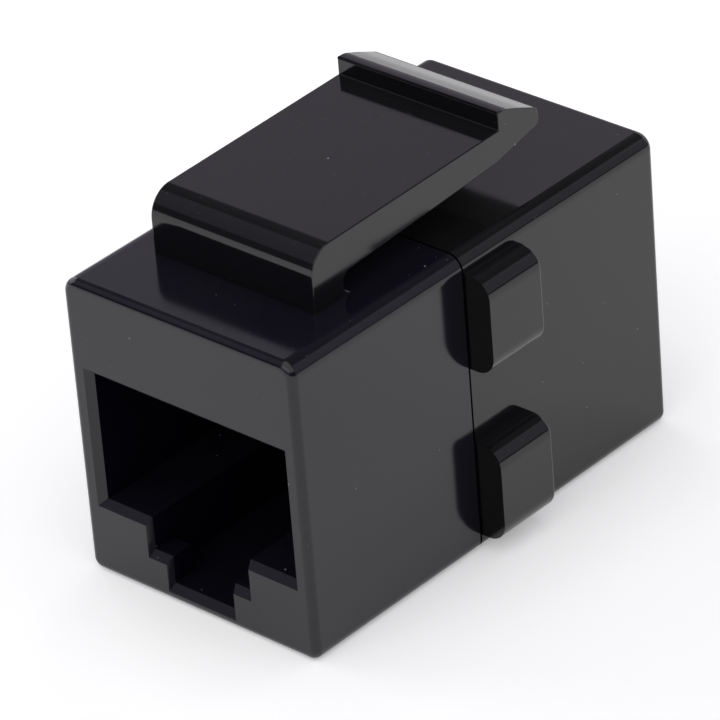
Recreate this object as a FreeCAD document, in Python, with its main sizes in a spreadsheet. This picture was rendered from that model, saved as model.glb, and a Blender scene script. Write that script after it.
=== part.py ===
import FreeCAD, Part
import os
from types import SimpleNamespace

import Sketcher

# A keystone coupler: two eight-way modular jacks back to back in a two-part moulded case, with a
# springy latch lever on top. X is across, Y runs from the front plug face to the rear one, Z is up.
# The origin is the middle of the underside. Each half is drawn with its own plug face at Y = 0 and
# its inside towards +Y, and is then placed.

# Driving dimensions, in millimetres
DIMENSIONS = {
    # Case
    "body_width": 14.5,
    "body_height": 16.2,
    "body_length": 26.2,
    "front_length": 11.88,
    "seam_gap": 0.12,
    "top_edge_radius": 0.8,
    "base_edge_radius": 0.55,
    "face_edge_radius": 0.4,
    # Plug opening: main slot, then the step and the slot of the plug's clip below it
    "plug_width": 12.06,
    "plug_height": 6.99,
    "plug_floor": 4.13,
    "plug_depth": 11.3,
    "step_width": 6.28,
    "step_floor": 2.34,
    "clip_width": 4.0,
    "clip_floor": 0.84,
    "mouth_chamfer": 0.36,
    "notch_chamfer": 0.15,
    # Walls and the lap joint between the shells
    "face_wall": 1.6,
    "roof_wall": 1.2,
    "shelf_wall": 1.2,
    "lip_thickness": 0.4,
    "lip_length": 1.4,
    "fit_gap": 0.05,
    # Side lugs
    "lug_reach": 1.52,
    "lug_depth": 3.8,
    "lug_height": 5.2,
    "lug_low": 0.8,
    "lug_pitch": 9.3,
    "lug_radius": 1.05,
    "lug_edge_radius": 0.15,
    # Latch lever
    "lever_width": 10.05,
    "foot_front": 4.15,
    "foot_depth": 2.05,
    "arm_root_top": 3.2,
    "arm_root_under": 1.25,
    "bend_radius": 1.35,
    "slot_radius": 0.55,
    "pivot_back": 7.6,
    "knuckle_radius": 0.9,
    "knuckle_gap": 0.03,
    "root_setback": 0.62,
    "shoulder_relief": 0.22,
    "hook_back": 17.61,
    "hook_foot": 3.43,
    "hook_top": 4.37,
    "hook_land": 0.45,
    "ramp_knee_back": 19.0,
    "ramp_knee": 4.02,
    "ramp_back": 20.4,
    "ramp_foot": 3.4,
    "tip_back": 20.53,
    "tip_under": 2.5,
    "heel_back": 17.3,
    "heel_under": 1.82,
    "tip_radius": 0.3,
    "hook_edge_radius": 0.06,
    "hook_crown_radius": 1.2,
    # Contacts, their carriers and the board
    "wire_diameter": 0.46,
    "wire_pitch": 1.02,
    "run_up": 12.35,
    "run_step": 1.2,
    "small_bend": 0.5,
    "large_bend": 1.1,
    "bend_back": 3.7,
    "wire_tip_back": 11.65,
    "wire_tip_up": 8.75,
    "tail_reach": 0.35,
    "board_thickness": 1.2,
    "board_gap": 0.01,
    "board_hole": 0.52,
    "groove_width": 0.6,
    "groove_floor": 8.2,
    "groove_roof": 13.9,
    "carrier_front": 1.75,
    "rib_floor": 11.2,
}

CONTACT_COUNT = 8

# How close two places count as the same, and how long an edge has to be to count as a main one
SAME_PLACE = 1e-4
MAIN_EDGE = 1.0


class Size:
    """A length that carries the sheet formula it is worked out from."""

    def __init__(self, value, formula):
        self.value = value
        self.formula = formula

    def joined(self, sign, other, value):
        return Size(value, f"({self.formula} {sign} {other.formula})")

    def __add__(self, other):
        other = as_size(other)
        return self.joined("+", other, self.value + other.value)

    def __sub__(self, other):
        other = as_size(other)
        return self.joined("-", other, self.value - other.value)

    def __mul__(self, other):
        other = as_size(other)
        return self.joined("*", other, self.value * other.value)

    def __truediv__(self, other):
        other = as_size(other)
        return self.joined("/", other, self.value / other.value)

    def __neg__(self):
        return as_size(0) - self


def as_size(number):
    return number if isinstance(number, Size) else Size(number, str(number))


doc = FreeCAD.newDocument("KeystoneCoupler")
sheet = doc.addObject("Spreadsheet::Sheet", "Sizes")
dim = SimpleNamespace()
for row, (alias, value) in enumerate(DIMENSIONS.items(), start=1):
    sheet.set(f"A{row}", alias.replace("_", " "))
    sheet.set(f"B{row}", str(value))
    sheet.setAlias(f"B{row}", alias)
    setattr(dim, alias, Size(value, f"Sizes.{alias}"))
doc.recompute()


def bind(target, name, size):
    target.setExpression(name, as_size(size).formula)


def new_body(label, back, turned=False, across=0):
    """A body whose plug face is at Y = 0, set at a Y of its own, turned about Z for the rear jack."""
    body = doc.addObject("PartDesign::Body", label)
    body.Label = label
    turn = FreeCAD.Rotation(FreeCAD.Vector(0, 0, 1), 180 if turned else 0)
    body.Placement = FreeCAD.Placement(FreeCAD.Vector(), turn)
    bind(body, "Placement.Base.x", across)
    bind(body, "Placement.Base.y", back)
    return body


def new_sketch(body, name, role, offset=0):
    """A sketch on one of the body's own planes, moved along the plane's normal."""
    sketch = body.newObject("Sketcher::SketchObject", name)
    planes = [feature for feature in body.Origin.OriginFeatures if feature.Role == role]
    sketch.AttachmentSupport = [(planes[0], "")]
    sketch.MapMode = "FlatFace"
    bind(sketch, "AttachmentOffset.Base.z", offset)
    return sketch


def across_sketch(body, name, back=0):
    """A sketch in X and Z, at a distance behind the plug face."""
    return new_sketch(body, name, "XZ_Plane", -as_size(back))


def side_sketch(body, name):
    """A sketch in Y and Z, on the middle plane."""
    return new_sketch(body, name, "YZ_Plane")


def pin(sketch, geometry, point, right, up):
    """Holds a point of the sketch at two sizes from its origin."""
    for kind, size in (("DistanceX", as_size(right)), ("DistanceY", as_size(up))):
        number = sketch.addConstraint(Sketcher.Constraint(kind, -1, 1, geometry, point, size.value))
        bind(sketch, f"Constraints[{number}]", size)


def outline(sketch, corners):
    """A closed outline of straight sides through corners given as sizes."""
    corners = [(as_size(right), as_size(up)) for right, up in corners]
    points = [FreeCAD.Vector(right.value, up.value, 0) for right, up in corners]
    lines = []
    for start, end in zip(points, points[1:] + points[:1]):
        lines.append(sketch.addGeometry(Part.LineSegment(start, end)))
    for line, following, (right, up) in zip(lines, lines[1:] + lines[:1], corners):
        sketch.addConstraint(Sketcher.Constraint("Coincident", line, 2, following, 1))
        pin(sketch, line, 1, right, up)


def rectangle(sketch, left, right, low, high):
    outline(sketch, [(left, low), (right, low), (right, high), (left, high)])


def circle(sketch, right, up, diameter):
    centre = FreeCAD.Vector(as_size(right).value, as_size(up).value, 0)
    radius = as_size(diameter).value / 2
    ring = sketch.addGeometry(Part.Circle(centre, FreeCAD.Vector(0, 0, 1), radius))
    number = sketch.addConstraint(Sketcher.Constraint("Diameter", ring, radius * 2))
    bind(sketch, f"Constraints[{number}]", diameter)
    pin(sketch, ring, 3, right, up)


def mirrored_corners(right_side):
    """The corners of a right-hand outline, from top to bottom, and of its mirror image."""
    return right_side + [(-as_size(right), up) for right, up in reversed(right_side)]


def pad(body, sketch, length, name):
    """A pad that runs towards +Y."""
    feature = body.newObject("PartDesign::Pad", name)
    feature.Profile = sketch
    feature.Reversed = True
    bind(feature, "Length", length)
    doc.recompute()
    return feature


def middle_pad(body, sketch, width, name):
    """A pad that runs the same way to both sides of the middle plane."""
    feature = body.newObject("PartDesign::Pad", name)
    feature.Profile = sketch
    feature.Midplane = True
    bind(feature, "Length", width)
    doc.recompute()
    return feature


def pocket(body, sketch, length, name):
    """A pocket that runs towards +Y, checked to take material away."""
    before = body.Shape.Volume
    feature = body.newObject("PartDesign::Pocket", name)
    feature.Profile = sketch
    bind(feature, "Length", length)
    doc.recompute()
    if body.Shape.Volume >= before:
        raise RuntimeError(f"{body.Label}: {name} takes nothing away")
    return feature


def fillet(body, base, radius, name, chosen):
    """Rounds the edges of a feature that a test picks by their bounding boxes."""
    picked = []
    for number, edge in enumerate(base.Shape.Edges, start=1):
        if chosen(edge.BoundBox):
            picked.append(f"Edge{number}")
    if not picked:
        raise RuntimeError(f"{body.Label}: {name} finds no edge")
    feature = body.newObject("PartDesign::Fillet", name)
    feature.Base = (base, picked)
    bind(feature, "Radius", radius)
    doc.recompute()
    return feature


def near(number, size):
    return abs(number - as_size(size).value) < SAME_PLACE


def beyond(number, size):
    return number > as_size(size).value + SAME_PLACE


def along_x(box):
    return box.XLength > MAIN_EDGE and max(box.YLength, box.ZLength) < SAME_PLACE


def along_y(box):
    return box.YLength > MAIN_EDGE and max(box.XLength, box.ZLength) < SAME_PLACE


def reach_from_middle(box):
    return max(box.XMax, -box.XMin)


# Sizes shared by several pieces
half_width = dim.body_width / 2
half_plug = dim.plug_width / 2
half_step = dim.step_width / 2
half_clip = dim.clip_width / 2
front_face = -dim.body_length / 2
rear_face = dim.body_length / 2
rear_length = dim.body_length - dim.front_length - dim.seam_gap
plug_top = dim.plug_floor + dim.plug_height
roof = dim.body_height - dim.roof_wall
board_front = dim.body_length / 2 - dim.board_thickness / 2
pivot_up = dim.body_height + (dim.arm_root_top + dim.arm_root_under) / 2


def case_block(body, length):
    """The outside of one shell: a block with rounded long edges and a rounded plug face."""
    sketch = across_sketch(body, "BlockSketch")
    rectangle(sketch, -half_width, half_width, 0, dim.body_height)
    block = pad(body, sketch, length, "Block")

    def is_top(box):
        return along_y(box) and near(box.ZMax, dim.body_height)

    def is_base(box):
        return along_y(box) and near(box.ZMax, 0)

    def is_face(box):
        return near(box.YMax, 0)

    block = fillet(body, block, dim.top_edge_radius, "TopEdges", is_top)
    block = fillet(body, block, dim.base_edge_radius, "BaseEdges", is_base)
    return fillet(body, block, dim.face_edge_radius, "FaceEdges", is_face)


def mouth_corners(chamfer, notch_chamfer):
    """The plug opening's outline, grown by a chamfer at its wide edges and in its notches."""
    return mirrored_corners([
        (half_plug + chamfer, plug_top + chamfer),
        (half_plug + chamfer, dim.plug_floor - chamfer),
        (half_step + notch_chamfer, dim.plug_floor - chamfer),
        (half_step + notch_chamfer, dim.step_floor - chamfer),
        (half_clip + notch_chamfer, dim.step_floor - chamfer),
        (half_clip + notch_chamfer, dim.clip_floor - chamfer),
    ])


def plug_socket(body, length):
    """The chamfered plug opening and the hollow behind it, through to the open end of a shell."""
    inner = across_sketch(body, "MouthSketch")
    outline(inner, mouth_corners(as_size(0), as_size(0)))
    pocket(body, inner, dim.face_wall, "Mouth")

    lead_in = body.newObject("PartDesign::SubtractiveLoft", "MouthChamfer")
    wide = across_sketch(body, "ChamferSketch")
    outline(wide, mouth_corners(dim.mouth_chamfer, dim.notch_chamfer))
    narrow = across_sketch(body, "ChamferFootSketch", dim.mouth_chamfer)
    outline(narrow, mouth_corners(as_size(0), as_size(0)))
    lead_in.Profile = wide
    lead_in.Sections = [narrow]
    lead_in.Ruled = True
    doc.recompute()
    body.Tip = lead_in

    hollow = across_sketch(body, "HollowSketch", dim.face_wall)
    outline(hollow, mirrored_corners([
        (half_plug, roof),
        (half_plug, dim.plug_floor),
        (half_step, dim.plug_floor),
        (half_step, dim.clip_floor),
    ]))
    pocket(body, hollow, length - dim.face_wall, "Hollow")

    saving = across_sketch(body, "ShelfSketch", dim.face_wall)
    shelf_inner = half_step + dim.shelf_wall
    shelf_under = dim.plug_floor - dim.shelf_wall
    rectangle(saving, shelf_inner, half_plug, dim.clip_floor, shelf_under)
    rectangle(saving, -half_plug, -shelf_inner, dim.clip_floor, shelf_under)
    pocket(body, saving, length - dim.face_wall, "ShelfHollows")

    chamber = across_sketch(body, "ChamberSketch", dim.plug_depth)
    rectangle(chamber, -half_plug, half_plug, dim.clip_floor, roof)
    pocket(body, chamber, length - dim.plug_depth, "Chamber")


def lap_outline(sketch, growth):
    """The lap joint's outline: the chamber's section grown on all sides."""
    rectangle(sketch, -half_plug - growth, half_plug + growth, dim.clip_floor - growth, roof + growth)


def lever_root(body):
    """The lever's foot and bend, which stand on the front shell as one moulding with it."""
    top = dim.body_height + dim.arm_root_top
    under = dim.body_height + dim.arm_root_under
    sunk = dim.body_height - dim.roof_wall / 2
    foot_back = dim.foot_front + dim.foot_depth
    root_end = dim.pivot_back - dim.root_setback
    sketch = side_sketch(body, "RootSketch")
    outline(sketch, [
        (dim.foot_front, sunk), (dim.foot_front, top), (root_end, top),
        (root_end, under), (foot_back, under), (foot_back, sunk),
    ])
    root = middle_pad(body, sketch, dim.lever_width, "Root")

    def is_bend(box):
        return along_x(box) and near(box.YMax, dim.foot_front) and near(box.ZMax, top)

    def is_slot_end(box):
        return along_x(box) and near(box.YMax, foot_back) and beyond(box.ZMax, sunk)

    root = fillet(body, root, dim.bend_radius, "Bend", is_bend)
    fillet(body, root, dim.slot_radius, "SlotEnd", is_slot_end)
    socket = side_sketch(body, "SocketSketch")
    circle(socket, dim.pivot_back, pivot_up, (dim.knuckle_radius + dim.knuckle_gap) * 2)
    before = body.Shape.Volume
    hollow = body.newObject("PartDesign::Pocket", "Socket")
    hollow.Profile = socket
    hollow.Midplane = True
    bind(hollow, "Length", dim.lever_width)
    doc.recompute()
    if body.Shape.Volume >= before:
        raise RuntimeError("the socket takes nothing away")


def front_shell():
    body = new_body("front_shell", front_face)
    case_block(body, dim.front_length)
    lip = across_sketch(body, "LipSketch", dim.front_length)
    lap_outline(lip, dim.lip_thickness)
    pad(body, lip, dim.lip_length, "Lip")
    lever_root(body)
    plug_socket(body, dim.front_length + dim.lip_length)
    return body


def rear_shell():
    body = new_body("rear_shell", rear_face, turned=True)
    case_block(body, rear_length)
    lugs = across_sketch(body, "LugSketch", rear_length - dim.lug_depth)
    outer = half_width + dim.lug_reach
    sunk = half_width - dim.lip_thickness
    for low in (dim.lug_low, dim.lug_low + dim.lug_pitch):
        rectangle(lugs, sunk, outer, low, low + dim.lug_height)
        rectangle(lugs, -outer, -sunk, low, low + dim.lug_height)
    lug_pad = pad(body, lugs, dim.lug_depth, "Lugs")

    def is_outer_edge(box):
        return along_y(box) and near(reach_from_middle(box), outer)

    def is_back_edge(box):
        return near(box.YMax, rear_length - dim.lug_depth) and beyond(reach_from_middle(box), half_width)

    rounded = fillet(body, lug_pad, dim.lug_radius, "LugEdges", is_outer_edge)
    fillet(body, rounded, dim.lug_edge_radius, "LugBackEdges", is_back_edge)
    plug_socket(body, rear_length)
    rebate_start = rear_length - dim.lip_length + dim.seam_gap - dim.fit_gap
    rebate = across_sketch(body, "RebateSketch", rebate_start)
    lap_outline(rebate, dim.lip_thickness + dim.fit_gap)
    pocket(body, rebate, rear_length - rebate_start, "Rebate")
    return body


def latch_lever():
    """The lever's arm and hook, with the round knuckle that it turns on."""
    body = new_body("latch_lever", front_face)
    top = dim.body_height + dim.arm_root_top
    under = dim.body_height + dim.arm_root_under
    shoulder = dim.pivot_back - dim.root_setback + dim.fit_gap
    lower_shoulder = shoulder + dim.shoulder_relief
    hook_top = dim.body_height + dim.hook_top
    sketch = side_sketch(body, "ArmSketch")
    outline(sketch, [
        (shoulder, pivot_up), (shoulder, top),
        (dim.hook_back, dim.body_height + dim.hook_foot), (dim.hook_back, hook_top),
        (dim.hook_back + dim.hook_land, hook_top), (dim.ramp_knee_back, dim.body_height + dim.ramp_knee),
        (dim.ramp_back, dim.body_height + dim.ramp_foot),
        (dim.tip_back, dim.body_height + dim.tip_under), (dim.heel_back, dim.body_height + dim.heel_under),
        (lower_shoulder, under), (lower_shoulder, pivot_up),
    ])
    arm = middle_pad(body, sketch, dim.lever_width, "Arm")

    def is_tip(box):
        return along_x(box) and (near(box.YMax, dim.ramp_back) or near(box.YMax, dim.tip_back))

    def is_hook_edge(box):
        return along_x(box) and near(box.ZMax, hook_top) and near(box.YMax, dim.hook_back)

    def is_hook_crown(box):
        return along_x(box) and near(box.ZMax, hook_top) and near(box.YMax, dim.hook_back + dim.hook_land)

    arm = fillet(body, arm, dim.tip_radius, "Tip", is_tip)
    arm = fillet(body, arm, dim.hook_crown_radius, "HookCrown", is_hook_crown)
    fillet(body, arm, dim.hook_edge_radius, "HookEdge", is_hook_edge)
    knuckle = side_sketch(body, "KnuckleSketch")
    circle(knuckle, dim.pivot_back, pivot_up, dim.knuckle_radius * 2)
    middle_pad(body, knuckle, dim.lever_width, "Knuckle")
    return body


def row_of(body, feature, sketch, name):
    """Repeats a cut across X, once for each contact."""
    pattern = body.newObject("PartDesign::LinearPattern", name)
    pattern.Originals = [feature]
    pattern.Direction = (sketch, ["H_Axis"])
    pattern.Occurrences = CONTACT_COUNT
    bind(pattern, "Length", dim.wire_pitch * (CONTACT_COUNT - 1))
    doc.recompute()
    body.Tip = pattern


def contact_carrier(label, back, turned):
    """The insert behind and above the plug, with a groove for each contact wire."""
    body = new_body(label, back, turned)
    half = half_plug - dim.fit_gap
    wall_back = board_front - dim.fit_gap
    ceiling = roof - dim.fit_gap
    wall_front = dim.plug_depth + dim.fit_gap
    wall = across_sketch(body, "WallSketch", wall_front)
    rectangle(wall, -half, half, dim.clip_floor + dim.fit_gap, ceiling)
    pad(body, wall, wall_back - wall_front, "Wall")
    block = across_sketch(body, "RoofSketch", dim.carrier_front)
    rectangle(block, -half, half, dim.rib_floor, ceiling)
    pad(body, block, wall_back - dim.carrier_front, "Roof")
    groove = across_sketch(body, "GrooveSketch", dim.carrier_front)
    first = -dim.wire_pitch * ((CONTACT_COUNT - 1) / 2)
    half_groove = dim.groove_width / 2
    rectangle(groove, first - half_groove, first + half_groove, dim.groove_floor, dim.groove_roof)
    cut = pocket(body, groove, wall_back - dim.carrier_front, "Groove")
    row_of(body, cut, groove, "Grooves")
    return body


def circuit_board():
    body = new_body("circuit_board", front_face)
    sketch = across_sketch(body, "BoardSketch", board_front)
    half = half_plug - dim.board_gap
    rectangle(sketch, -half, half, dim.clip_floor + dim.board_gap, roof - dim.board_gap)
    pad(body, sketch, dim.board_thickness, "Board")
    first = -dim.wire_pitch * ((CONTACT_COUNT - 1) / 2)
    holes = across_sketch(body, "HoleSketch", board_front)
    circle(holes, first, dim.run_up, dim.board_hole)
    circle(holes, first, dim.run_up + dim.run_step, dim.board_hole)
    cut = pocket(body, holes, dim.board_thickness, "Holes")
    row_of(body, cut, holes, "HoleRows")
    return body


def contact(label, number, back, turned):
    """A spring wire: a tail through the board, a run along the roof, a bend and a sloping arm."""
    side = -1 if turned else 1
    middle = (CONTACT_COUNT + 1) / 2
    body = new_body(label, back, turned, dim.wire_pitch * ((number - middle) * side))
    is_upper = number % 2 == 0
    run = dim.run_up + dim.run_step if is_upper else dim.run_up
    bend = dim.large_bend if is_upper else dim.small_bend
    tail = board_front + dim.board_thickness + dim.tail_reach

    path = side_sketch(body, "PathSketch")
    tail_end = FreeCAD.Vector(tail.value, run.value, 0)
    bend_start = FreeCAD.Vector(dim.bend_back.value, run.value, 0)
    bend_front = FreeCAD.Vector(dim.bend_back.value - bend.value, run.value - bend.value, 0)
    bend_end = FreeCAD.Vector(dim.bend_back.value, run.value - bend.value * 2, 0)
    tip = FreeCAD.Vector(dim.wire_tip_back.value, dim.wire_tip_up.value, 0)
    straight = path.addGeometry(Part.LineSegment(tail_end, bend_start))
    turn = path.addGeometry(Part.Arc(bend_start, bend_front, bend_end))
    arm = path.addGeometry(Part.LineSegment(bend_end, tip))
    path.addConstraint(Sketcher.Constraint("Horizontal", straight))
    path.addConstraint(Sketcher.Constraint("Tangent", straight, 2, turn, 1))
    path.addConstraint(Sketcher.Constraint("Tangent", turn, 2, arm, 1))
    pin(path, straight, 1, tail, run)
    pin(path, arm, 2, dim.wire_tip_back, dim.wire_tip_up)
    radius = path.addConstraint(Sketcher.Constraint("Radius", turn, bend.value))
    bind(path, f"Constraints[{radius}]", bend)
    place = path.addConstraint(Sketcher.Constraint("DistanceX", -1, 1, turn, 3, dim.bend_back.value))
    bind(path, f"Constraints[{place}]", dim.bend_back)

    section = across_sketch(body, "SectionSketch", tail)
    circle(section, 0, run, dim.wire_diameter)
    doc.recompute()
    wire = body.newObject("PartDesign::AdditivePipe", "Wire")
    wire.Profile = section
    wire.Spine = (path, ["Edge1", "Edge2", "Edge3"])
    doc.recompute()
    return body


pieces = [
    front_shell(),
    rear_shell(),
    latch_lever(),
    circuit_board(),
    contact_carrier("front_contact_carrier", front_face, False),
    contact_carrier("rear_contact_carrier", rear_face, True),
]
for position in range(1, CONTACT_COUNT + 1):
    pieces.append(contact(f"front_contact_{position}", position, front_face, False))
    pieces.append(contact(f"rear_contact_{position}", position, rear_face, True))
doc.recompute()

for item in doc.Objects:
    if "Invalid" in item.State or "Error" in item.State:
        raise RuntimeError(f"{item.Label} has failed: {item.State}")
for piece in pieces:
    if piece.Shape.isNull() or not piece.Shape.isValid():
        raise RuntimeError(f"{piece.Label} has no valid shape")
    if len(piece.Shape.Solids) != 1:
        raise RuntimeError(f"{piece.Label} is not one solid")

os.makedirs("parts", exist_ok=True)
for piece in pieces:
    piece.Shape.exportStep(os.path.join("parts", f"{piece.Label}.step"))
    box = piece.Shape.BoundBox
    print(f"{piece.Label}: {piece.Shape.Volume:.2f} mm3, "
          f"X {box.XMin:.2f} to {box.XMax:.2f}, Y {box.YMin:.2f} to {box.YMax:.2f}, "
          f"Z {box.ZMin:.2f} to {box.ZMax:.2f}")
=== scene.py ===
import math

import bmesh
import bpy
from mathutils import Matrix, Vector


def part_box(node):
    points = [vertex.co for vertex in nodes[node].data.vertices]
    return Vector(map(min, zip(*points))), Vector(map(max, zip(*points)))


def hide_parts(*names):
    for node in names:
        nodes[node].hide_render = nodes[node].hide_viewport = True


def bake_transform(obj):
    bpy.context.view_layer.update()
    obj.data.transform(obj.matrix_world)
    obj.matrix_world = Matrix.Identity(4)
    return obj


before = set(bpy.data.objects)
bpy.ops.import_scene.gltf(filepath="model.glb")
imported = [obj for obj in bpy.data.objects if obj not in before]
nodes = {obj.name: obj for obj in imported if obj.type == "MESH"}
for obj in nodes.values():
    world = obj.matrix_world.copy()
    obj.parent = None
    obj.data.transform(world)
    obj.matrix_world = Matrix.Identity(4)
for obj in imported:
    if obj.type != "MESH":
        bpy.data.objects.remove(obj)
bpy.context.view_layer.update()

# Front shell. The front half of the case, moulded in black ABS, with the plug opening in its face.
# The mould is polished, so the skin is smooth and mirrors what stands near it, and a lip at the back
# of the shell laps into the rear shell.
MM = 0.001
FRONT_BLACK, FRONT_SMOOTH, FRONT_ROUGH = "#0B0A16", 0.11, 0.16


def linear(hex_colour):
    """The linear colour, with alpha, of an sRGB hex value."""
    channels = [int(hex_colour[place:place + 2], 16) / 255 for place in (1, 3, 5)]
    return [c / 12.92 if c <= 0.04045 else ((c + 0.055) / 1.055) ** 2.4 for c in channels] + [1.0]


def new_material(name):
    """A new material and its node tree, which is still empty."""
    material = bpy.data.materials.new(name)
    material.use_nodes = True
    material.node_tree.nodes.clear()
    return material, material.node_tree


def add_node(tree, kind, settings, links):
    """Adds a shader node. Settings are its properties or input values, and links feed its inputs."""
    node = tree.nodes.new("ShaderNode" + kind)
    for key, value in settings.items():
        if isinstance(key, str) and hasattr(node, key):
            setattr(node, key, value)
        else:
            node.inputs[key].default_value = value
    for key, socket in links.items():
        tree.links.new(socket, node.inputs[key])
    return node


def per_metre(size_mm):
    """The texture scale that gives a pattern of a size in millimetres."""
    return 1 / (size_mm * MM)


def specks(tree, place, cell_mm, reach):
    """A mask of round specks, one to a cell, of any size up to a given share of the cell's size."""
    cells = add_node(tree, "TexVoronoi", {"Scale": per_metre(cell_mm)}, {"Vector": place})
    chance = add_node(tree, "SeparateColor", {}, {"Color": cells.outputs["Color"]})
    limit = add_node(tree, "Math", {"operation": "MULTIPLY", 1: reach}, {0: chance.outputs["Red"]})
    return add_node(tree, "Math", {"operation": "LESS_THAN"},
                    {0: cells.outputs["Distance"], 1: limit.outputs[0]}).outputs[0]


def black_abs(name, black, smooth, rough, raised=()):
    """Moulded ABS in black: a gloss skin that is never quite flat, under a film of dust and a few specks.
    Its waviness and raised marks bend the reflections, and its gloss varies where the melt flowed.
    Its under faces come off a plainer half of the mould and are dull."""
    flow_mm, flow_low, flow_high = 5.0, 0.3, 0.7
    wave_mm, wave_height_mm = 2.2, 0.003
    grain_mm, grain_height_mm = 0.16, 0.0002
    dust, film_cover = "#8A888C", 0.025
    fine_cell_mm, fine_reach, fine_cover = 0.45, 0.07, 0.3
    large_cell_mm, large_reach = 1.3, 0.045
    under_rough = 0.55
    # How far up a face looks, from 1 to -1: where dust starts to lie, and where dullness starts and is full.
    film_from, dull_from, dull_full = 0.5, -0.5, -0.9

    material, tree = new_material(name)
    texture = add_node(tree, "TexCoord", {}, {}).outputs
    place = texture["Object"]
    flow = add_node(tree, "TexNoise", {"Scale": per_metre(flow_mm), "Detail": 3.0}, {"Vector": place})
    wave = add_node(tree, "TexNoise", {"Scale": per_metre(wave_mm), "Detail": 1.0}, {"Vector": place})
    grain = add_node(tree, "TexNoise", {"Scale": per_metre(grain_mm), "Detail": 2.0}, {"Vector": place})
    upward = add_node(tree, "SeparateXYZ", {}, {"Vector": texture["Normal"]}).outputs["Z"]

    cover = add_node(tree, "MapRange", {"From Min": film_from, "To Max": film_cover}, {"Value": upward})
    film = add_node(tree, "Math", {"operation": "MULTIPLY"},
                    {0: cover.outputs["Result"], 1: flow.outputs["Fac"]})
    fine = add_node(tree, "Math", {"operation": "MULTIPLY_ADD", 1: fine_cover},
                    {0: specks(tree, place, fine_cell_mm, fine_reach), 2: film.outputs[0]})
    dusty = add_node(tree, "Math", {"operation": "MAXIMUM"},
                     {0: specks(tree, place, large_cell_mm, large_reach), 1: fine.outputs[0]})
    colour = add_node(tree, "MixRGB", {"Color1": linear(black), "Color2": linear(dust)},
                      {"Fac": dusty.outputs[0]})

    gloss = add_node(tree, "MapRange", {"From Min": flow_low, "From Max": flow_high,
                                        "To Min": smooth, "To Max": rough}, {"Value": flow.outputs["Fac"]})
    dull = add_node(tree, "MapRange", {"From Min": dull_from, "From Max": dull_full, "To Max": under_rough},
                    {"Value": upward})
    finish = add_node(tree, "Math", {"operation": "MAXIMUM"},
                      {0: gloss.outputs["Result"], 1: dull.outputs["Result"]})

    bumps = add_node(tree, "Bump", {"Strength": 1.0, "Distance": wave_height_mm * MM},
                     {"Height": wave.outputs["Fac"]})
    for centre, reach_mm, height_mm in raised:
        away = add_node(tree, "VectorMath", {"operation": "DISTANCE", 1: centre}, {0: place})
        dome = add_node(tree, "MapRange", {"interpolation_type": "SMOOTHSTEP", "From Max": reach_mm * MM,
                                          "To Min": 1.0, "To Max": 0.0}, {"Value": away.outputs["Value"]})
        bumps = add_node(tree, "Bump", {"Strength": 1.0, "Distance": height_mm * MM},
                         {"Height": dome.outputs["Result"], "Normal": bumps.outputs["Normal"]})
    grains = add_node(tree, "Bump", {"Strength": 1.0, "Distance": grain_height_mm * MM},
                      {"Height": grain.outputs["Fac"], "Normal": bumps.outputs["Normal"]})

    skin = add_node(tree, "BsdfPrincipled", {"IOR": 1.5}, {
        "Base Color": colour.outputs["Color"], "Roughness": finish.outputs[0],
        "Normal": grains.outputs["Normal"]})
    add_node(tree, "OutputMaterial", {}, {"Surface": skin.outputs[0]})
    return material


front_abs = black_abs("black_abs_front_shell", FRONT_BLACK, FRONT_SMOOTH, FRONT_ROUGH)
nodes["front_shell"].material_slots[0].material = front_abs

# Rear shell. The other half of the case, moulded in the same ABS, with two lugs on each side that stop
# against a panel. It slides over the front shell's lip and leaves a fine seam round the middle.
REAR_BLACK, REAR_SMOOTH, REAR_ROUGH = "#0B0B0C", 0.07, 0.12
rear_abs = black_abs("black_abs_rear_shell", REAR_BLACK, REAR_SMOOTH, REAR_ROUGH)
nodes["rear_shell"].material_slots[0].material = rear_abs

# Latch lever. A springy tongue of the same ABS, moulded in one with the front shell: a foot, a round bend,
# a flat arm and a hook with a sloping back. Pressing it down frees the coupler from its panel. Its places
# are in millimetres behind the plug face and above the case.
LEVER_BLACK, LEVER_SMOOTH, LEVER_ROUGH = "#0B0B0F", 0.08, 0.14
LEVER_SKIN = 0.01 * MM
FOOT_FRONT, FOOT_BACK, FOOT_SUNK = 4.15, 6.2, -0.4
ARM_TOP, ARM_UNDER, ARM_UNDER_BACK = 3.2, 1.25, 7.2
HOOK_BACK, HOOK_FOOT, HOOK_TOP, HOOK_LAND = 17.61, 3.43, 4.37, 0.45
RAMP_KNEE_BACK, RAMP_KNEE, RAMP_BACK, RAMP_FOOT = 19.0, 4.02, 20.4, 3.4
TIP_BACK, TIP_UNDER, HEEL_BACK, HEEL_UNDER = 20.53, 2.5, 17.3, 1.82
BEND_RADIUS, SLOT_RADIUS, TIP_RADIUS, SIDE_RADIUS = 1.35, 0.55, 0.3, 0.06
HOOK_RADIUS, LAND_RADIUS, KNEE_RADIUS = 0.06, 1.2, 12.0
ARC_SEGMENTS, SIDE_SEGMENTS = 16, 4
BEND_START, BEND_END, BEND_CUTS = 7.0, 10.5, 14
# Each faint raised mark has its place across, behind and above, its reach and its height.
MARKS = [(0.35, 17.05, 3.42, 0.6, 0.02), (-1.2, 17.0, 3.42, 0.3, 0.01), (5.03, 7.1, 2.4, 0.45, 0.006)]

face_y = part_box("front_shell")[0].y
case_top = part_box("rear_shell")[1].z
lever_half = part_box("latch_lever")[1].x


def outset(points, by):
    """Moves the sides of a closed outline outwards. The outline runs clockwise."""
    moved = []
    for place, point in enumerate(points):
        before = (point - points[place - 1]).normalized().orthogonal()
        after = (points[(place + 1) % len(points)] - point).normalized().orthogonal()
        moved.append(point + (before + after) * by / (1 + before.dot(after)))
    return moved


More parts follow.
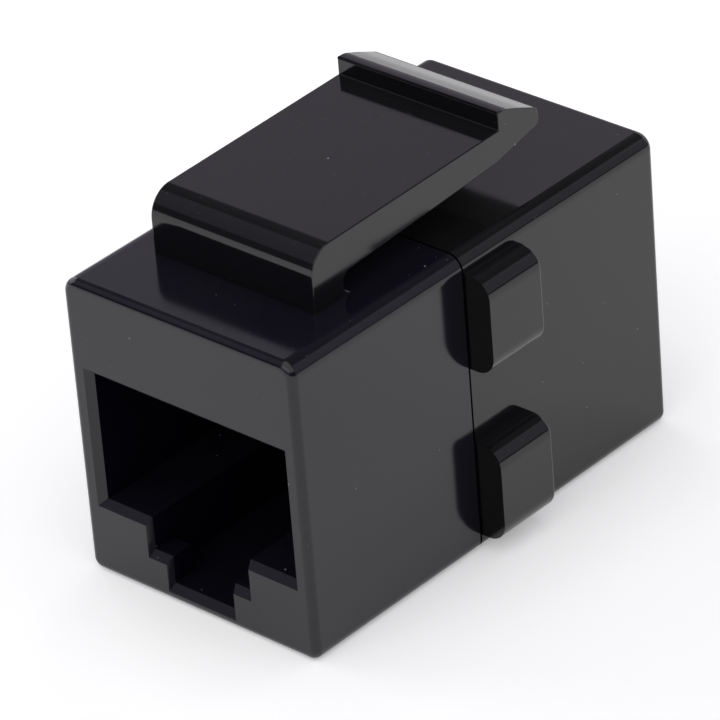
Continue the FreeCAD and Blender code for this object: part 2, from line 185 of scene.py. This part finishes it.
def rounded(mesh, edges, radius_mm):
    """Rounds edges to a radius, whatever angle their faces meet at."""
    for edge in edges:
        turn = edge.calc_face_angle()
        bmesh.ops.bevel(mesh, geom=[edge], offset=radius_mm * MM * math.tan(turn / 2), offset_type="OFFSET",
                        affect="EDGES", segments=ARC_SEGMENTS, profile=0.5, material=-1,
                        clamp_overlap=False)


def finished(name, mesh, material):
    """Makes an object of a mesh. Its shading is smooth, and flat faces stay flat beside rounded edges."""
    sharp_degrees = 35
    sharp = math.cos(math.radians(sharp_degrees))
    data = bpy.data.meshes.new(name)
    mesh.to_mesh(data)
    mesh.free()
    data.shade_smooth()
    faces_at = [[] for vert in data.vertices]
    for face in data.polygons:
        for vert in face.vertices:
            faces_at[vert].append(face)
    normals = []
    for face in data.polygons:
        for vert in face.vertices:
            smooth = [other for other in faces_at[vert] if other.normal.dot(face.normal) > sharp]
            weighted = [other.normal * other.area / MM ** 2 for other in smooth]
            normals.append(sum(weighted, Vector()).normalized())
    data.normals_split_custom_set(normals)
    data.materials.append(material)
    piece = bpy.data.objects.new(name, data)
    bpy.context.scene.collection.objects.link(piece)
    return piece


corners = [
    (FOOT_FRONT, FOOT_SUNK, 0), (FOOT_FRONT, ARM_TOP, BEND_RADIUS), (HOOK_BACK, HOOK_FOOT, 0),
    (HOOK_BACK, HOOK_TOP, HOOK_RADIUS), (HOOK_BACK + HOOK_LAND, HOOK_TOP, LAND_RADIUS),
    (RAMP_KNEE_BACK, RAMP_KNEE, KNEE_RADIUS), (RAMP_BACK, RAMP_FOOT, TIP_RADIUS),
    (TIP_BACK, TIP_UNDER, TIP_RADIUS), (HEEL_BACK, HEEL_UNDER, 0),
    (ARM_UNDER_BACK, ARM_UNDER, 0), (FOOT_BACK, ARM_UNDER, SLOT_RADIUS), (FOOT_BACK, FOOT_SUNK, 0),
]
solid_outline = [Vector((face_y + back * MM, case_top + up * MM)) for back, up, radius in corners]
outline = outset(solid_outline, LEVER_SKIN)
half = lever_half + LEVER_SKIN
lever_mesh = bmesh.new()
side = lever_mesh.faces.new([lever_mesh.verts.new((-half, spot.x, spot.y)) for spot in outline])
grown = bmesh.ops.extrude_face_region(lever_mesh, geom=[side])
grown_verts = [item for item in grown["geom"] if isinstance(item, bmesh.types.BMVert)]
bmesh.ops.translate(lever_mesh, verts=grown_verts, vec=(2 * half, 0, 0))
bmesh.ops.recalc_face_normals(lever_mesh, faces=lever_mesh.faces)
for spot, (back, up, radius) in zip(outline, corners):
    if radius:
        middle = Vector((0, spot.x, spot.y))
        found = [edge for edge in lever_mesh.edges
                 if ((edge.verts[0].co + edge.verts[1].co) / 2 - middle).length < LEVER_SKIN / 2]
        rounded(lever_mesh, found, radius)
rim = [edge for edge in lever_mesh.edges
       if all(abs(abs(vert.co.x) - half) < LEVER_SKIN / 2 for vert in edge.verts)]
bmesh.ops.bevel(lever_mesh, geom=rim, offset=SIDE_RADIUS * MM, offset_type="OFFSET", affect="EDGES",
                segments=SIDE_SEGMENTS, profile=0.5, material=-1, clamp_overlap=False)
for cut in range(BEND_CUTS + 1):
    back = BEND_START + (BEND_END - BEND_START) * cut / BEND_CUTS
    bmesh.ops.bisect_plane(lever_mesh, geom=lever_mesh.verts[:] + lever_mesh.edges[:] + lever_mesh.faces[:],
                           plane_co=(0, face_y + back * MM, 0), plane_no=(0, 1, 0))
bmesh.ops.recalc_face_normals(lever_mesh, faces=lever_mesh.faces)
marks = [(Vector((across * MM, face_y + back * MM, case_top + up * MM)), reach, height)
         for across, back, up, reach, height in MARKS]
lever_abs = black_abs("black_abs_lever", LEVER_BLACK, LEVER_SMOOTH, LEVER_ROUGH, marks)
lever = finished("latch_lever_moulding", lever_mesh, lever_abs)
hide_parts("latch_lever")
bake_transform(lever)

# Circuit board. A small plate of glass-epoxy laminate across the middle, under green solder resist.
# It joins the two rows of contacts pin by pin and is held between their carriers.
RESIST_GREEN, RESIST_DARK, RESIST_ROUGH = "#1E6B3A", "#154D2B", 0.35
WEAVE_MM, WEAVE_DEPTH_MM = 0.45, 0.01

# The resist is a smooth deep green, and the glass cloth under it shows as a faint check.
board, tree = new_material("solder_resist_on_glass_epoxy")
place = add_node(tree, "TexCoord", {}, {}).outputs["Object"]
weave = add_node(tree, "TexChecker", {"Scale": per_metre(WEAVE_MM), "Color1": linear(RESIST_GREEN),
                                      "Color2": linear(RESIST_DARK)}, {"Vector": place})
threads = add_node(tree, "TexNoise", {"Scale": per_metre(WEAVE_MM), "Detail": 4.0}, {"Vector": place})
cover = add_node(tree, "Bump", {"Strength": 0.4, "Distance": WEAVE_DEPTH_MM * MM},
                 {"Height": threads.outputs["Fac"]})
resist = add_node(tree, "BsdfPrincipled", {"Roughness": RESIST_ROUGH}, {
    "Base Color": weave.outputs["Color"], "Normal": cover.outputs["Normal"]})
add_node(tree, "OutputMaterial", {}, {"Surface": resist.outputs[0]})
nodes["circuit_board"].material_slots[0].material = board

# Contact carriers. The two inserts of black PBT behind and above each plug, with a groove for every wire.
# Glass-filled PBT comes out of the mould dull and slightly grainy, and the shells trap the carriers.
CARRIER_BLACK, CARRIER_GREY, CARRIER_ROUGH = "#151515", "#202020", 0.55
GLASS_GRAIN_MM, GLASS_GRAIN_DEPTH_MM = 0.25, 0.01

# The short glass fibres mottle the black. They are coarser here than in real PBT, so that they show.
carrier, tree = new_material("glass_filled_pbt")
place = add_node(tree, "TexCoord", {}, {}).outputs["Object"]
grain = add_node(tree, "TexNoise", {"Scale": per_metre(GLASS_GRAIN_MM), "Detail": 5.0}, {"Vector": place})
tone = add_node(tree, "ValToRGB", {}, {"Fac": grain.outputs["Fac"]})
tone.color_ramp.elements[0].color = linear(CARRIER_BLACK)
tone.color_ramp.elements[1].color = linear(CARRIER_GREY)
dull = add_node(tree, "Bump", {"Strength": 0.5, "Distance": GLASS_GRAIN_DEPTH_MM * MM},
                {"Height": grain.outputs["Fac"]})
plastic = add_node(tree, "BsdfPrincipled", {"Roughness": CARRIER_ROUGH}, {
    "Base Color": tone.outputs["Color"], "Normal": dull.outputs["Normal"]})
add_node(tree, "OutputMaterial", {}, {"Surface": plastic.outputs[0]})
for end in ("front", "rear"):
    nodes[f"{end}_contact_carrier"].material_slots[0].material = carrier

# Contact wires. Sixteen springs of phosphor-bronze wire, drawn, bent and plated with gold, eight to a plug.
# Their tails go through the board, and the sloping arms press on the plug's own contacts.
GOLD, GOLD_DEEP, GOLD_SMOOTH, GOLD_ROUGH = "#E3BC63", "#C79A3F", 0.18, 0.34
DRAW_MM, DRAW_STRETCH = 0.12, 0.08
contact_count = sum(name.startswith("front_contact_") and name[-1].isdigit() for name in nodes)

# The plate is a warm bright metal, and the drawn wire under it leaves fine lines in its tint and gloss.
# The lines are coarser here than on a real wire, so that they show.
gold, tree = new_material("gold_plated_spring_wire")
place = add_node(tree, "TexCoord", {}, {}).outputs["Object"]
stretched = add_node(tree, "Mapping", {"Scale": (1.0, DRAW_STRETCH, 1.0)}, {"Vector": place})
draw_lines = add_node(tree, "TexNoise", {"Scale": per_metre(DRAW_MM), "Detail": 3.0},
                      {"Vector": stretched.outputs["Vector"]})
tint = add_node(tree, "ValToRGB", {}, {"Fac": draw_lines.outputs["Fac"]})
tint.color_ramp.elements[0].color = linear(GOLD_DEEP)
tint.color_ramp.elements[1].color = linear(GOLD)
shine = add_node(tree, "MapRange", {"To Min": GOLD_SMOOTH, "To Max": GOLD_ROUGH},
                 {"Value": draw_lines.outputs["Fac"]})
plate = add_node(tree, "BsdfPrincipled", {"Metallic": 1.0}, {
    "Base Color": tint.outputs["Color"], "Roughness": shine.outputs["Result"]})
add_node(tree, "OutputMaterial", {}, {"Surface": plate.outputs[0]})
for end in ("front", "rear"):
    for number in range(1, contact_count + 1):
        nodes[f"{end}_contact_{number}"].material_slots[0].material = gold

# Floor and light. A white table in a dim room, lit by a wide panel overhead, a panel in front and walls of
# light at the left and the back. The table keeps the coupler's shadow and shows in its glossy sides, and
# two dim panels and a pale backdrop show in its top and its rounded edges. Their places are in metres.
TABLE_WHITE, TABLE_GLOW = "#FFFFFF", 0.27
TABLE_HALF, TABLE_DROP = 1.5, 0.02 * MM
ROOM_TINT, ROOM_LEVEL = "#F8F2FF", 0.11
LAMP_WHITE, BACKDROP_TINT = "#FFFFFF", "#F4EDFF"
PANEL_WATTS = 4.0


def soft_panel(name, centre, facing, width, height, level, tint):
    """A flat lamp, equally bright all over. Its level scales the watts on each square metre of it."""
    data = bpy.data.lights.new(name, "AREA")
    data.shape = "RECTANGLE"
    data.size = width
    data.size_y = height
    data.energy = PANEL_WATTS * width * height * level
    data.color = linear(tint)[:3]
    panel = bpy.data.objects.new(name, data)
    panel.location = centre
    panel.rotation_euler = (-Vector(facing)).to_track_quat("Z", "Y").to_euler()
    bpy.context.scene.collection.objects.link(panel)


def seen_directly(tree):
    """Gives 1 for rays from the camera or a mirroring surface, and 0 for light that a surface gathers."""
    rays = add_node(tree, "LightPath", {}, {}).outputs
    seen = add_node(tree, "Math", {"operation": "ADD"},
                    {0: rays["Is Camera Ray"], 1: rays["Is Glossy Ray"]})
    return add_node(tree, "Math", {"operation": "ADD"},
                    {0: seen.outputs[0], 1: rays["Is Transmission Ray"]})


table_mesh = bmesh.new()
bmesh.ops.create_grid(table_mesh, x_segments=1, y_segments=1, size=TABLE_HALF,
                      matrix=Matrix.Translation((0, 0, -TABLE_DROP)))
# The table is plain white, and a little glow of its own keeps it white around the shadow.
table_top, tree = new_material("white_table")
seen = seen_directly(tree)
level = add_node(tree, "Math", {"operation": "MULTIPLY", 1: TABLE_GLOW}, {0: seen.outputs[0]})
white = add_node(tree, "BsdfDiffuse", {"Color": linear(TABLE_WHITE)}, {})
glow = add_node(tree, "Emission", {"Color": linear(TABLE_WHITE)}, {"Strength": level.outputs[0]})
both = add_node(tree, "AddShader", {}, {0: white.outputs[0], 1: glow.outputs[0]})
add_node(tree, "OutputMaterial", {}, {"Surface": both.outputs[0]})
table = finished("table", table_mesh, table_top)

soft_panel("overhead_panel", centre=(0.5, -0.5, 0.7), facing=(0, 0, -1),
           width=1.6, height=1.6, level=0.74, tint=LAMP_WHITE)
soft_panel("front_panel", centre=(0.05, -0.75, 0.4), facing=(0, 0.88, -0.47),
           width=0.9, height=0.5, level=0.65, tint=LAMP_WHITE)
soft_panel("side_panel", centre=(0.62, 0.62, 0.42), facing=(-0.62, -0.62, -0.42),
           width=1.0, height=0.7, level=0.29, tint=BACKDROP_TINT)
soft_panel("left_panel", centre=(-0.53, -0.39, 0.62), facing=(0.53, 0.39, -0.62),
           width=0.7, height=0.7, level=0.17, tint=BACKDROP_TINT)
soft_panel("left_wall", centre=(-0.95, 0, 0.5), facing=(1, 0, 0),
           width=1.2, height=0.8, level=1.1, tint=LAMP_WHITE)
soft_panel("back_wall", centre=(0, 1.0, 0.5), facing=(0, -1, 0),
           width=1.2, height=0.8, level=0.7, tint=LAMP_WHITE)
soft_panel("backdrop_panel", centre=(-0.55, 0.58, 0.3), facing=(0.69, -0.72, 0),
           width=1.0, height=0.5, level=0.3, tint=BACKDROP_TINT)

room = bpy.data.worlds.new("room")
room.use_nodes = True
tree = room.node_tree
tree.nodes.clear()
walls = add_node(tree, "Background", {"Color": linear(ROOM_TINT), "Strength": ROOM_LEVEL}, {})
add_node(tree, "OutputWorld", {}, {"Surface": walls.outputs[0]})
bpy.context.scene.world = room
bpy.context.scene.view_settings.view_transform = "Standard"

# Camera. A long lens that looks down on the front right corner from less than a third of a metre, rolled a
# little clockwise. Its frame is a square as wide as the sensor.
AIM = Vector((1.426, -2.426, 9.246)) * MM
AZIMUTH, ELEVATION, ROLL = math.radians(43.574), math.radians(31.139), math.radians(-4.712)
DISTANCE, SENSOR_MM, FRAME_PIXELS, FOCAL_PIXELS = 275.75 * MM, 36.0, 720, 5795.3

camera_data = bpy.data.cameras.new("camera")
camera_data.sensor_width = SENSOR_MM
camera_data.lens = FOCAL_PIXELS / FRAME_PIXELS * SENSOR_MM
camera = bpy.data.objects.new("camera", camera_data)
backward = Vector((math.sin(AZIMUTH) * math.cos(ELEVATION), -math.cos(AZIMUTH) * math.cos(ELEVATION),
                   math.sin(ELEVATION)))
level_right = Vector((math.cos(AZIMUTH), math.sin(AZIMUTH), 0))
level_up = backward.cross(level_right)
right = level_right * math.cos(ROLL) + level_up * math.sin(ROLL)
upright = backward.cross(right)
turned = Matrix((right, upright, backward)).transposed().to_4x4()
camera.matrix_world = Matrix.Translation(AIM + backward * DISTANCE) @ turned
bpy.context.scene.collection.objects.link(camera)
bpy.context.scene.camera = camera
